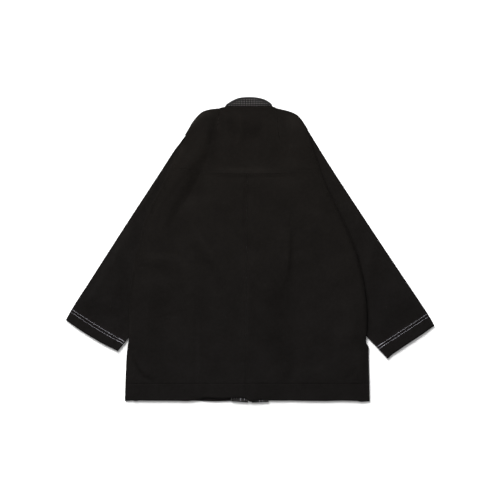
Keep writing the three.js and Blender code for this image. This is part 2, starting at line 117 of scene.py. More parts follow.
# Soft folds of the back and yoke: points along the fold, half width on the side towards the
# light, half width on the other side, rise (a trough is below 0)
folds = [
    # yoke
    ([(-84, 376), (-99, 304), (-122, 242)], 12, 28, -3.0),
    ([(-66, 372), (-60, 320), (-66, 262)], 10, 14, 1.3),
    ([(-30, 380), (-24, 322), (-32, 272)], 9, 12, 1.2),
    ([(32, 336), (10, 304), (-4, 276)], 9, 14, -1.3),
    ([(60, 352), (66, 300), (60, 258)], 11, 16, 1.2),
    ([(98, 356), (107, 306), (103, 268)], 6, 9, -1.2),
    ([(128, 350), (138, 300), (136, 262)], 9, 10, 1.1),
    # from the yoke's left end down beside the armhole
    ([(-106, 256), (-150, 208), (-190, 168), (-232, 112), (-258, 66)], 14, 50, -6.4),
    ([(-190, 276), (-222, 192), (-262, 82), (-278, 8)], 13, 20, 1.5),
    # from the left underarm
    ([(-322, -12), (-285, -19), (-240, -29), (-186, -40)], 14, 19, 2.1),
    ([(-318, -96), (-250, -100), (-190, -94)], 26, 44, 1.8),
    ([(-310, -140), (-272, -190), (-250, -262)], 36, 60, -2.2),
    # across the left of the back
    ([(-160, 56), (-122, -8), (-84, -76)], 10, 10, 2.2),
    ([(-150, 2), (-122, -58), (-88, -130)], 10, 11, -2.3),
    ([(-166, -36), (-160, -150), (-154, -250)], 13, 24, 2.2),
    ([(-158, -262), (-158, -390)], 13, 20, 1.3),
    ([(-80, -104), (-74, -180), (-68, -270)], 16, 26, -1.9),
    # beside the centre seam
    ([(-9, 196), (-12, 130), (-14, 56)], 5, 9, -1.2),
    ([(2, -14), (-8, -120), (-20, -290)], 14, 20, 2.3),
    # long hollow on the right
    ([(108, 62), (105, 0), (98, -62), (70, -136)], 44, 15, 3.4),
    ([(116, -30), (112, -120), (108, -250), (102, -412)], 54, 46, -3.8),
    ([(168, -284), (188, -330)], 12, 20, -1.8),
    ([(284, -205), (288, -262)], 12, 14, 2.2),
    ([(200, 150), (232, 60), (250, -10)], 26, 18, 1.4),
    ([(210, -120), (236, -230)], 26, 30, -1.4),
    # drags to the corners of the hem
    ([(-326, -286), (-307, -322), (-289, -348), (-262, -361)], 7, 8, -2.6),
    ([(314, -288), (284, -340), (258, -360)], 8, 10, -1.2),
]

# Painted shade in the hollows and painted light on ridges, seams and the lit shoulder: the same columns, with
# the change in tone
paintedShadingTable = [
    ([(92, -56), (84, -180), (78, -290)], 34, 20, -0.85),
    ([(92, -300), (88, -412)], 26, 18, -0.5),
    ([(-96, 220), (-10, 219), (84, 220)], 12, 8, 0.9),
    ([(-154, 66), (-120, 10), (-84, -44)], 5, 5, 0.7),
    ([(-143, -176), (-144, -290), (-143, -396)], 5, 5, 0.8),
    ([(-5, -77), (-8, -180), (-10, -286)], 6, 6, 0.8),
    ([(-160, 344), (-138, 370), (-108, 383)], 10, 10, 3.0),
    ([(-184, 292), (-192, 262)], 9, 9, 1.5),
    ([(-104, 335), (-104, 270), (-113, 218)], 13, 14, -1.1),
    ([(112, 46), (112, -16), (104, -80)], 6, 5, -1.0),
    ([(221, 152), (262, 62), (296, -24), (311, -88), (320, -168), (320, -216)], 6, 7, -1.0),
    ([(104, 372), (128, 358), (146, 330)], 8, 8, 0.6),
    ([(-140, 300), (-176, 250), (-206, 190)], 8, 8, 0.5),
    ([(-13, 170), (-14, 70)], 4, 4, -0.35),
    ([(-262, -130), (-250, -240)], 44, 40, -0.35),
    ([(-308, -36), (-262, -44), (-216, -50)], 6, 8, -0.4),
    ([(-326, -284), (-308, -322), (-290, -347), (-264, -361)], 5, 5, -1.2),
    ([(-314, -300), (-290, -334)], 5, 5, 0.4),
    ([(-317, -40), (-328, -130), (-332, -215)], 3, 3, -1.0),
    ([(358, -110), (396, -196)], 44, 44, -0.35),
    ([(-380, -40), (-430, -180)], 60, 60, -0.55),
    ([(86, 372), (92, 318)], 7, 7, -0.4),
    ([(-55, 374), (-52, 330)], 7, 7, -0.3),
    ([(-105, 368), (-106, 322)], 7, 7, -0.4),
    ([(-82, 374), (-84, 322)], 6, 6, 0.5),
    ([(-30, 380), (-24, 322)], 6, 6, 0.45),
    ([(38, 374), (41, 302)], 7, 7, 0.45),
    ([(114, 368), (120, 326)], 6, 6, 0.6),
    ([(-186, 292), (-210, 244), (-248, 196)], 11, 13, 1.0),
    ([(20, 200), (140, 188)], 30, 34, 0.5),
    ([(-60, 330), (40, 344)], 60, 50, -0.4),
    ([(-152, 204), (-190, 160), (-236, 92)], 18, 22, -0.7),
    ([(-190, 276), (-222, 192)], 12, 14, 0.5),
]
towardsLight = np.array([-0.4, 0.92])

# Outer: the long edge from the shoulder to the cuff. Bow: share of the way along it, how far
# it bows out. Inner: the edge on the body's side. Rows: the white stitch rows, from the
# cuff's edge. Row skew: how much deeper they lie at the inner end. Cuff bow: share of the way
# across the cuff from the outer edge, how far the cuff's edge bows out.
sleeves = {
    "left": {
        "outer": [(-165.7, 330.7), (-185.5, 302.5), (-504.6, -192.5)],
        "bow": [(0, 0), (0.06, 0.8), (0.105, 3.0), (0.2, 3.2), (0.5, 4.4), (0.8, 4.0), (0.97, 3.0), (1, 1.4)],
        "inner": [(-279, -20), (-290, -90), (-301, -160), (-316, -216), (-337, -246), (-364, -279)],
        "folds": [
            ([(-352, 30), (-330, -2), (-300, -16)], 11, 14, -1.8),
            ([(-372, 8), (-345, -30)], 12, 16, 1.3),
            ([(-300, 96), (-340, 60)], 16, 18, -1.2),
            ([(-440, -120), (-372, -150)], 20, 24, 1.2),
            ([(-400, -170), (-352, -190)], 14, 20, -1.2),
            ([(-330, -90), (-352, -170)], 14, 18, 1.2),
        ],
        "rows": (26.0, 33.2),
        "rowSkew": 0,
        "cuffBow": [(0, 0.9), (0.2, 2.9), (0.4, 3.8), (0.6, 3.4), (0.8, 1.9), (0.92, -0.2), (1, -1.0)],
    },
    "right": {
        "outer": [(139.6, 353.2), (161.0, 321.8), (505.2, -207.6)],
        "bow": [
            (0, 0.4), (0.05, 2.2), (0.1, 1.4), (0.16, 0.4), (0.5, 0.6), (0.75, 2.2), (0.88, 3.4),
            (0.97, 3.0), (1, 1.4),
        ],
        "inner": [(254, -25), (270, -90), (283, -160), (301, -213), (323, -240), (377, -298)],
        "folds": [
            ([(330, 0), (318, -60)], 14, 18, 1.3),
            ([(352, -60), (340, -150)], 15, 20, -1.4),
            ([(390, -110), (372, -200)], 18, 22, 1.3),
            ([(260, 130), (300, 50)], 16, 18, 1.0),
            ([(430, -150), (420, -210)], 16, 20, -1.0),
        ],
        "rows": (32.2, 39.9),
        "rowSkew": 5.4,
        "cuffBow": [(0, 1.1), (0.2, 1.3), (0.4, 0.6), (0.6, -0.3), (0.8, -0.7), (0.93, -0.6), (1, 1.2)],
    },
}

sleeveShape = {
    "low": 2.1,  # underside where it lies on a front
    "fold": 2.4,  # outside radius of its long edges
    "air": 1.4,
    "puff": 2.6,
    "mouth": 1.3,  # how far a cuff stands open
    "grid": 4.4,
}

# x, y of the place where the band turns up, heading of its lower part in degrees from +X,
# degrees that it is folded over, width of the lower part
band = np.array([
    (-45, -416.0, -3.9, 0, 40), (-54, -160, 0, 0, 40), (-62, 110, 0, 0, 40), (-68.5, 320, -3, 0, 40),
    (-69.6, 352, -10, 0, 40), (-70, 368, -18, 30, 41), (-68.5, 380, -30, 70, 41),
    (-66, 388, -38, 104, 40), (-62.5, 395, -46, 180, 36), (-51, 403.2, -60, 180, 27),
    (-33.5, 411.6, -77, 180, 19.5), (-4, 415.2, -90, 180, 16), (26.5, 412.4, -100, 180, 19),
    (45, 405.4, -118, 180, 25), (57, 395, -134, 180, 36), (58.5, 388, -142, 104, 40),
    (59.5, 380, -150, 70, 41), (60, 368, -162, 30, 41), (59.1, 352, -170, 0, 40),
    (59, 320, -177, 0, 40), (56, 110, -180, 0, 40), (52, -160, -180, 0, 40), (45, -417.6, -177.5, 0, 40),
], float)

bandShape = {
    "thick": 4.6,
    "width": 46,
    "turn": 2.95,  # radius of its fold, at the middle of its thickness
    "edge": 2.2,
    "station": 4.5,
    "rows": (3.5, 13, 23, 33, 42.5),  # stitched down, from the sewn edge
    "boundEnd": 4.3,  # plain binding
    "boundEdge": 6.3,
    "gridShift": (-1.35, 2.5),  # of the stitched grid, along X and Y
}


def ease(value, low=0.0, high=1.0):
    t = np.clip((value - low) / (high - low), 0, 1)
    return t * t * (3 - 2 * t)


def mix(a, b, share):
    return a + (b - a) * share


def least(*grids):
    return reduce(np.minimum, grids)


def at3(x, y, z=0.0):
    # points from grids, columns or plain numbers
    return np.stack(np.broadcast_arrays(x, y, z), -1)


def curveThrough(places, values, at):
    # smooth curve through the rows of a table, level beyond its ends
    slopes = np.gradient(values, places)
    k = np.clip(np.searchsorted(places, at) - 1, 0, len(places) - 2)
    span = places[k + 1] - places[k]
    t = np.clip((at - places[k]) / span, 0, 1)
    return (
        (1 + 2 * t) * (1 - t) ** 2 * values[k] + t * (1 - t) ** 2 * span * slopes[k]
        + t * t * (3 - 2 * t) * values[k + 1] - t * t * (1 - t) * span * slopes[k + 1]
    )


def runLengths(line):
    return np.concatenate([[0], np.cumsum(np.linalg.norm(np.diff(line, axis=0), axis=1))])


def softNoise(x, y, size, seed):
    # soft bumps between -1 and 1, the same on every run
    table = np.random.default_rng(seed).uniform(-1, 1, (64, 64))
    u, v = np.asarray(x) / size, np.asarray(y) / size
    i, j = np.floor(u).astype(int), np.floor(v).astype(int)
    s, t = ease(u - i), ease(v - j)

    def at(di, dj):
        return table[(i + di) % 64, (j + dj) % 64]

    return mix(mix(at(0, 0), at(1, 0), s), mix(at(0, 1), at(1, 1), s), t)


def foldHeight(table, x, y):
    # each fold is softly rounded across, and fades in and out along its length
    total = np.zeros_like(x)
    for number, (points, lightSide, farSide, rise) in enumerate(table):
        line = np.array(points, float)
        lengths = runLengths(line)
        nearest, place, halfWidth = np.full_like(x, 1e9), 0 * x, 0 * x
        for k, step in enumerate(np.diff(line, axis=0)):
            offX, offY = x - line[k, 0], y - line[k, 1]
            t = np.clip((offX * step[0] + offY * step[1]) / (step @ step), 0, 1)
            away = np.hypot(offX - t * step[0], offY - t * step[1])
            beside = np.array([-step[1], step[0]])
            beside = beside * np.sign(beside @ towardsLight)
            side = np.where(offX * beside[0] + offY * beside[1] > 0, lightSide, farSide)
            nearer = away < nearest
            nearest = np.where(nearer, away, nearest)
            place = np.where(nearer, mix(lengths[k], lengths[k + 1], t) / lengths[-1], place)
            halfWidth = np.where(nearer, side, halfWidth)
        wander = 1 + 0.2 * softNoise(x, y, 38, 40 + number)
        along = 0.3 + 0.7 * np.sin(math.pi * np.clip(place, 0, 1)) ** 0.7
        total += rise * along * np.exp(-((nearest / (halfWidth * wander)) ** 2))
    return total


def sideEdge(side, y):
    return curveThrough(bodyEdge[:, 0], bodyEdge[:, 1 if side == "left" else 2], y)


def inset(x, y):
    # distance inside the nearer side edge of the body
    return np.minimum(x - sideEdge("left", y), sideEdge("right", y) - x)


def topAt(x):
    return np.interp(x, *topEdge.T)


def yokeSeamAt(x):
    rise = body["yokeSeamRise"] * (x / body["yokeSeamHalf"]) ** 2
    return body["yokeSeam"] - body["yokeDrop"] + rise


def yokeRidge(x):
    # the yoke's seam stands up most in the middle of the back
    return 0.1 + 0.9 * np.exp(-(((x - 2) / 98) ** 4)) * (1 + 0.3 * softNoise(x, 0 * x, 26, 61))


def centreSeamAt(y):
    return mix(-7, -13, (body["yokeSeam"] - y) / (body["yokeSeam"] - body["hem"]))


def hemAt(x):
    # the hem lifts over the ends of the lapels, and its corners are uneven
    return body["hem"] + curveThrough(*hemLine.T, x) + 0.4 * softNoise(x, 0, 34, 5)


def backUnder(x, y):
    # underside of the yoke and back, over the sleeves, fronts and band
    fromTop = ease(topAt(x) - y, 36, 95)
    away = inset(x, y)
    overSleeve = 1 - ease(away, 50, 110)
    level = mix(layers["shoulderLow"], layers["middleLow"], fromTop * (1 - overSleeve))
    hem = ease(-y, layers["hemFrom"], layers["hemTo"])
    freedom = np.maximum(0.75 * ease(topAt(x) - y, 4, 40), fromTop) * ease(away, 4, 60) * (1 - 0.45 * hem)
    lowest = mix(layers["overFront"], layers["overBand"], 1 - ease(np.abs(x), 95, 130))
    lowest = np.maximum(lowest, (layers["shoulderLow"] - 0.1) * overSleeve * (1 - hem))
    gentle = 0.75 * softNoise(x, y, 62, 1) + 0.3 * softNoise(x, y, 23, 2)
    loose = mix(level, layers["middleLow"], hem) + freedom * (foldHeight(folds, x, y) + gentle + 0.5)
    # a soft landing on whatever lies underneath
    low = lowest + np.logaddexp(0, (loose - lowest) / 0.55) * 0.55
    # the sides roll over the sleeves
    rise = mix(layers["rollLeft"], layers["rollRight"], ease(x, -80, 80))
    roll = np.sqrt(1 - (1 - np.clip(away / layers["rollRound"], 0, 1)) ** 2) * (1 - ease(away, 22, 95))
    low = low + rise * roll * ease(topAt(x) - y, 2, 46) * ease(y, -285, -225)
    below = ease(-y, 250, 290) * (1 - ease(away, 0, 26))
    low = mix(low, layers["sideLow"] + 0.35 * softNoise(x, y, 30, 3), below)
    # the hem stands off the ends of the lapels
    return low + layers["hemLift"] * np.exp(-(((x + 45) / 82) ** 4)) * ease(-y, 340, 408)


def fell(distance, alongSeam, seed):
    # raised band of a felled seam with two sunk stitch lines and a little puckering
    width = cloth["fellWidth"]
    raised = cloth["fellRise"] * (1 - ease(distance, width - 3, width + 4))
    sunk = sum(0.3 * np.exp(-(((distance - row) / 0.9) ** 2)) for row in cloth["fellRows"])
    ripple = 0.26 * softNoise(alongSeam, 0 * alongSeam, 8.5, seed) * np.exp(-((distance / 13) ** 2))
    return raised - sunk + ripple


def sunkRow(distance, at, alongRow, seed):
    # one stitch line pulled into the cloth
    away = distance - at
    ripple = 0.3 * softNoise(alongRow, 0 * alongRow, 11, seed) * np.exp(-((away / 12) ** 2))
    return ripple - 0.5 * np.exp(-((away / 1.1) ** 2))


def fineAtEnds(length, near, gap):
    # distances along lines of these lengths, closer together near both ends
    length = np.atleast_1d(np.asarray(length, float))[:, None]
    near = np.asarray(near, float)[None, :]
    count = max(2, int(np.max(length) / gap))
    middle = near[:, -1:] + (length - 2 * near[:, -1:]) * np.arange(1, count)[None, :] / count
    return np.concatenate([near + 0 * length, middle, length - near[:, ::-1]], axis=1)


def sewnAt(distance):
    # a wall keeps its thickness nearly up to a seam
    return distance * cloth["edgeRound"] / cloth["seamRound"] + cloth["seamStart"]


def roundedWall(top, under, nearest):
    # brings both faces of a wall together towards its edge
    share = np.clip(nearest / cloth["edgeRound"], 0, 1)
    share = 0.22 + 0.78 * np.sqrt(1 - (1 - share) ** 2)
    middle = (top + under) / 2
    half = (top - under) / 2 * share[..., None]
    return middle + half, middle - half


def closedShell(top, under, keep=None, wrap=False):
    # points and faces of a closed wall from the grids of its two faces
    rows, columns = top.shape[:2]
    number = np.arange(rows * columns).reshape(rows, columns)
    if wrap:
        number = np.concatenate([number, number[:, :1]], axis=1)
    below = number + rows * columns
    keep = np.ones((rows - 1, number.shape[1] - 1), bool) if keep is None else keep
    i, j = np.nonzero(keep)
    corners = [(i, j), (i, j + 1), (i + 1, j + 1), (i + 1, j)]
    faces = [
        np.stack([number[c] for c in corners], 1),
        np.stack([below[c] for c in reversed(corners)], 1),
    ]
    if wrap:
        framed = np.pad(np.pad(keep, ((0, 0), (1, 1)), mode="wrap"), ((1, 1), (0, 0)))
    else:
        framed = np.pad(keep, 1)
    neighbours = [framed[i, j + 1], framed[i + 1, j + 2], framed[i + 2, j + 1], framed[i + 1, j]]
    for side, present in enumerate(neighbours):
        a = tuple(v[~present] for v in corners[side])
        b = tuple(v[~present] for v in corners[(side + 1) % 4])
        faces.append(np.stack([number[b], number[a], below[a], below[b]], 1))
    faces = np.concatenate(faces)
    points = np.concatenate([top.reshape(-1, 3), under.reshape(-1, 3)])
    a, b, c, d = (points[faces[:, k]] for k in range(4))
    volume = np.sum(a * np.cross(b, c)) + np.sum(a * np.cross(c, d))
    if volume < 0:
        faces = faces[:, ::-1]
    used, faces = np.unique(faces, return_inverse=True)
    return points[used], faces.reshape(-1, 4), used


def addObject(name, data):
    made = bpy.data.objects.new(name, data)
    bpy.context.collection.objects.link(made)
    return made


def newPiece(name, material, points, faces, **perPoint):
    mesh = bpy.data.meshes.new(name)
    mesh.from_pydata((points * mm).tolist(), [], faces.tolist())
    mesh.polygons.foreach_set("use_smooth", np.ones(len(faces), bool))
    for label, values in perPoint.items():
        kind, field = ("FLOAT_VECTOR", "vector") if values.ndim == 2 else ("FLOAT", "value")
        made = mesh.attributes.new(label, kind, "POINT")
        made.data.foreach_set(field, values.astype(np.float32).ravel())
    mesh.materials.append(material)
    mesh.update()
    return addObject(name, mesh)


def clothPiece(name, material, top, under, place, wear, nearest=None, keep=None, wrap=False, **more):
    # one sewn panel: wear is 1 along its seams and edges, and nearest is the distance to an edge
    if nearest is not None:
        top, under = roundedWall(top, under, nearest)
    points, faces, used = closedShell(top, under, keep, wrap)
    # every point takes the painted shade and light of the hollows and ridges
    perPoint = {"paintedShading": foldHeight(paintedShadingTable, points[:, 0], points[:, 1])}
    for label, grid in {"clothAt": place, "seamWear": wear, **more}.items():
        oneFace = grid.reshape((-1,) + grid.shape[2:])
        perPoint[label] = np.concatenate([oneFace, oneFace])[used]
    return newPiece(name, material, points, faces, **perPoint)


# Shader groups. Place is a point on the cloth in millimetres: across and along the weave.


def feed(value, socket):
    # by a link, or with a plain value
    if isinstance(value, bpy.types.NodeSocket):
        socket.id_data.links.new(value, socket)
    else:
        socket.default_value = value


def addNode(tree, kind, inputs=None, **settings):
    made = tree.nodes.new("ShaderNode" + kind)
    for name, value in settings.items():
        setattr(made, name, value)
    for name, value in (inputs or {}).items():
        feed(value, made.inputs[name])
    return made.outputs


def calc(operation, *values):
    tree = next(value.id_data for value in values if isinstance(value, bpy.types.NodeSocket))
    return addNode(tree, "Math", dict(enumerate(values)), operation=operation)[0]


times, plus, minus, divide = (partial(calc, word) for word in ("MULTIPLY", "ADD", "SUBTRACT", "DIVIDE"))


def remap(value, low, high, toLow=0.0, toHigh=1.0):
    inputs = {"Value": value, "From Min": low, "From Max": high, "To Min": toLow, "To Max": toHigh}
    return addNode(value.id_data, "MapRange", inputs)[0]


def noise(place, scale, detail, roughness=0.5):
    inputs = {"Vector": place, "Scale": scale, "Detail": detail, "Roughness": roughness}
    return addNode(place.id_data, "TexNoise", inputs)


def wandering(place, scale, detail, reach):
    # the place, moved about a little
    moved = noise(place, scale, detail)["Color"]
    steps = (("SUBTRACT", {1: (0.5, 0.5, 0.5)}), ("SCALE", {"Scale": reach}), ("ADD", {1: place}))
    for operation, inputs in steps:
        moved = addNode(place.id_data, "VectorMath", {0: moved, **inputs}, operation=operation)[0]
    return moved


def inCell(value):
    # from -0.5 to 0.5 within each repeat
    return minus(calc("FRACT", value), 0.5)


def domeOver(spread):
    return calc("SQRT", calc("MAXIMUM", minus(1.0, spread), 0.0))


def newGroup(name, inputs, outputs):
    # every group takes a place on the cloth and plain values, and puts out values
    group = bpy.data.node_groups.new(name, "ShaderNodeTree")
    group.interface.new_socket("Place", in_out="INPUT", socket_type="NodeSocketVector")
    for label, value in inputs.items():
        made = group.interface.new_socket(label, in_out="INPUT", socket_type="NodeSocketFloat")
        made.default_value = value
    for label in outputs:
        group.interface.new_socket(label, in_out="OUTPUT", socket_type="NodeSocketFloat")
    return group, group.nodes.new("NodeGroupInput").outputs, group.nodes.new("NodeGroupOutput").inputs


def makePearlWeave():
    # staggered rows of raised rice-like grains
    group, given, made = newGroup(
        "pearlWeave", {"Grain width": 2.0, "Grain length": 2.9}, ["Height", "Grain"]
    )
    bent = wandering(given["Place"], 0.045, 1.0, 2.2)
    parts = addNode(group, "SeparateXYZ", {0: bent})
    row = divide(parts["Y"], given["Grain length"])
    rowNumber = calc("FLOOR", row)
    shift = times(calc("FLOORED_MODULO", rowNumber, 2.0), 0.5)
    column = plus(divide(parts["X"], given["Grain width"]), shift)
    across, along = (calc("ABSOLUTE", times(inCell(value), 2.0)) for value in (column, row))
    dome = domeOver(plus(calc("POWER", across, 2.2), calc("POWER", along, 2.6)))
    cell = addNode(group, "CombineXYZ", {"X": calc("FLOOR", column), "Y": rowNumber})[0]
    chance = addNode(group, "TexWhiteNoise", {"Vector": cell}, noise_dimensions="2D")["Value"]
    fibres = noise(bent, 1.7, 3.0, 0.65)["Fac"]
    height = times(dome, plus(0.82, times(minus(chance, 0.5), 0.22)))
    feed(plus(height, times(fibres, 0.28)), made["Height"])
    # the grain's dome also paints the gaps between grains darker in the cloth's tone, as shade; each grain
    # differs at random too
    feed(times(dome, plus(0.8, times(chance, 0.4))), made["Grain"])
    return group


def makeSashikoGrid():
    # light running stitches that cross in a square grid on dark cloth
    group, given, made = newGroup(
        "sashikoGrid", {"Across": 6.9, "Down": 5.5, "Thread width": 0.85}, ["Thread", "Height"]
    )
    parts = addNode(group, "SeparateXYZ", {0: wandering(given["Place"], 0.16, 2.0, 0.8)})
    lines = []
    for crossing, running, apart, step in (("X", "Y", "Across", "Down"), ("Y", "X", "Down", "Across")):
        halfThread = divide(given["Thread width"], times(given[apart], 2.0))
        beside = divide(calc("ABSOLUTE", inCell(divide(parts[crossing], given[apart]))), halfThread)
        ahead = calc("ABSOLUTE", inCell(divide(parts[running], given[step])))
        lines.append(times(domeOver(times(beside, beside)), remap(ahead, 0.29, 0.12)))
    thread = calc("MAXIMUM", *lines)
    feed(remap(thread, 0.1, 0.45), made["Thread"])
    feed(thread, made["Height"])
    return group


def makeClothTone():
    # cloudy dye, painted shade and light in hollows and on ridges, painted shade between the weave's grains,
    # faded seams and a little lint
    group, given, made = newGroup(
        "clothTone", {"Seam wear": 0.0, "Painted shading": 0.0, "Grain": 1.0, "Lint": 1.0}, ["Tone", "Lint"]
    )
    place = given["Place"]
    worn = times(given["Seam wear"], remap(noise(place, 0.35, 2.0)["Fac"], 0.38, 0.66))
    tone = times(noise(place, 0.013, 3.0, 0.6)["Fac"], 0.35)
    # the painted shading darkens the hollows and lightens the ridges, as shade and light
    for value, share in ((noise(place, 0.11, 3.0, 0.6)["Fac"], 0.3), (worn, 0.3), (given["Painted shading"], 0.14)):
        tone = plus(tone, times(value, share))
    # the gaps between the weave's grains are painted darker, as shade
    feed(times(tone, plus(0.55, times(given["Grain"], 0.5))), made["Tone"])
    specks = addNode(group, "TexVoronoi", {"Vector": place, "Scale": 0.06}, feature="F1")["Distance"]
    feed(times(remap(specks, 0.034, 0.018), given["Lint"]), made["Lint"])
    return group


def makeThreadTwist():
    # plies that wind round a sewing thread
    group, given, made = newGroup("threadTwist", {"Ply": 0.55}, ["Height", "Chance"])
    parts = addNode(group, "SeparateXYZ", {0: given["Place"]})
    turn = plus(divide(parts["X"], given["Ply"]), times(parts["Y"], 2.0))
    feed(calc("ABSOLUTE", calc("SINE", times(turn, math.pi))), made["Height"])
    chance = addNode(group, "TexWhiteNoise", {"W": parts["Z"]}, noise_dimensions="1D")
    feed(chance["Value"], made["Chance"])
    return group


weaveGroup = makePearlWeave()
sashikoGroup = makeSashikoGrid()
toneGroup = makeClothTone()
twistGroup = makeThreadTwist()

finish = {
    "blackLow": (0.0018, 0.0014, 0.0011, 1),
    "blackHigh": (0.0140, 0.0118, 0.0100, 1),
    "blackHighCool": (0.0130, 0.0120, 0.0120, 1),  # near the hem and the cuffs
    "coolPlaces": (260.0, -380.0),  # from the yoke to the hem
    "lint": (0.05, 0.047, 0.043, 1),
    "blackSpecular": 0.03,
    "blackSheen": 0.003,
    "bandLow": (0.0024, 0.0022, 0.0021, 1),
    "bandHigh": (0.0076, 0.0069, 0.0067, 1),
    "bandThread": (0.156, 0.141, 0.138, 1),
    "whiteThread": (0.49, 0.48, 0.53, 1),
    "blackThread": (0.0056, 0.0048, 0.0041, 1),
    "weaveDepth": 0.35,  # millimetres, as the next two
    "gridDepth": 0.6,
    "twistDepth": 0.12,
}


def newMaterial(name):
    material = bpy.data.materials.new(name)
    material.use_nodes = True
    return material, material.node_tree


def setShader(tree, inputs):
    for name, value in inputs.items():
        feed(value, tree.nodes["Principled BSDF"].inputs[name])


def relief(height, depth):
    inputs = {"Height": height, "Distance": depth * mm, "Strength": 1.0}
    return addNode(height.id_data, "Bump", inputs)["Normal"]


def useGroup(tree, group, inputs):
    return addNode(tree, "Group", inputs, node_tree=group)


def attribute(tree, name, output="Fac"):
    return addNode(tree, "Attribute", attribute_name=name, attribute_type="GEOMETRY")[output]


def blend(share, a, b):
    return addNode(share.id_data, "Mix", {0: share, 6: a, 7: b}, data_type="RGBA")[2]


def makePearlCotton():
    material, tree = newMaterial("pearlCotton")
    place = attribute(tree, "clothAt", "Vector")
    weave = useGroup(tree, weaveGroup, {"Place": place})
    # the tone takes the painted shade of the hollows and the painted light of the ridges
    tone = useGroup(tree, toneGroup, {
        "Place": place, "Seam wear": attribute(tree, "seamWear"), "Painted shading": attribute(tree, "paintedShading"),
        "Grain": weave["Grain"],
    })
    cool = remap(addNode(tree, "SeparateXYZ", {0: place})["Y"], *finish["coolPlaces"])
    bright = blend(cool, finish["blackHigh"], finish["blackHighCool"])
    colour = blend(tone["Tone"], finish["blackLow"], bright)
    setShader(tree, {
        "Base Color": blend(times(tone["Lint"], 0.5), colour, finish["lint"]),
        "Roughness": remap(weave["Grain"], 0.0, 1.0, 0.74, 0.6),
        "Specular IOR Level": finish["blackSpecular"],
        "Sheen Weight": finish["blackSheen"],
        "Sheen Roughness": 0.45,
        "Normal": relief(weave["Height"], finish["weaveDepth"]),
    })
    return material


def makeSashikoCloth():
    material, tree = newMaterial("sashikoCloth")
    place = attribute(tree, "clothAt", "Vector")
    weave = useGroup(tree, weaveGroup, {"Place": place, "Grain width": 1.1, "Grain length": 1.3})
    grid = useGroup(tree, sashikoGroup, {"Place": place})
    tone = useGroup(tree, toneGroup, {
        "Place": place, "Seam wear": attribute(tree, "seamWear"), "Grain": weave["Grain"], "Lint": 0.3,
    })
    # the ground's tone carries painted shade between its weave's grains
    ground = blend(tone["Tone"], finish["bandLow"], finish["bandHigh"])
    thread = times(grid["Thread"], minus(1.0, attribute(tree, "plainEnd")))
    raised = plus(times(weave["Height"], 0.25), times(grid["Height"], 0.9))
    setShader(tree, {
        "Base Color": blend(thread, ground, finish["bandThread"]),
        "Roughness": remap(thread, 0.0, 1.0, 0.85, 0.6),
        "Specular IOR Level": 0.18,
        "Sheen Weight": 0.03,
        "Normal": relief(raised, finish["gridDepth"]),
    })
    return material


def makeThread(name, roughness, specular):
    material, tree = newMaterial(name)
    twist = useGroup(tree, twistGroup, {"Place": attribute(tree, "clothAt", "Vector")})
    # the grooves between the plies are painted darker, as shade, and each stitch also differs in tone at
    # random
    darker = tuple(0.55 * c for c in finish[name][:3]) + (1,)
    share = plus(times(twist["Height"], 0.7), times(twist["Chance"], 0.3))
    setShader(tree, {
        "Base Color": blend(share, darker, finish[name]),
        "Roughness": roughness,
        "Specular IOR Level": specular,
        "Normal": relief(twist["Height"], finish["twistDepth"]),
    })
    return material


pearlCotton = makePearlCotton()
sashikoCloth = makeSashikoCloth()
whiteThread = makeThread("whiteThread", 0.6, 0.25)
blackThread = makeThread("blackThread", 0.5, 0.05)
print("finishes made")


# Panels

nearSeam = [0, 0.3, 0.7, 1.2, 1.8, 2.4, 3.1, 4.2, 5.6, 7.0, 7.8, 8.4, 9.0, 9.8, 10.8, 12.2, 14.5]
nearHem = [0, 0.4, 1.0, 1.8, 3.2, 6, 10, 15, 20, 25, 30, 35, 40, 44, 46.5, 47.8, 48.7, 49.4, 50.2, 51.4, 53.5]


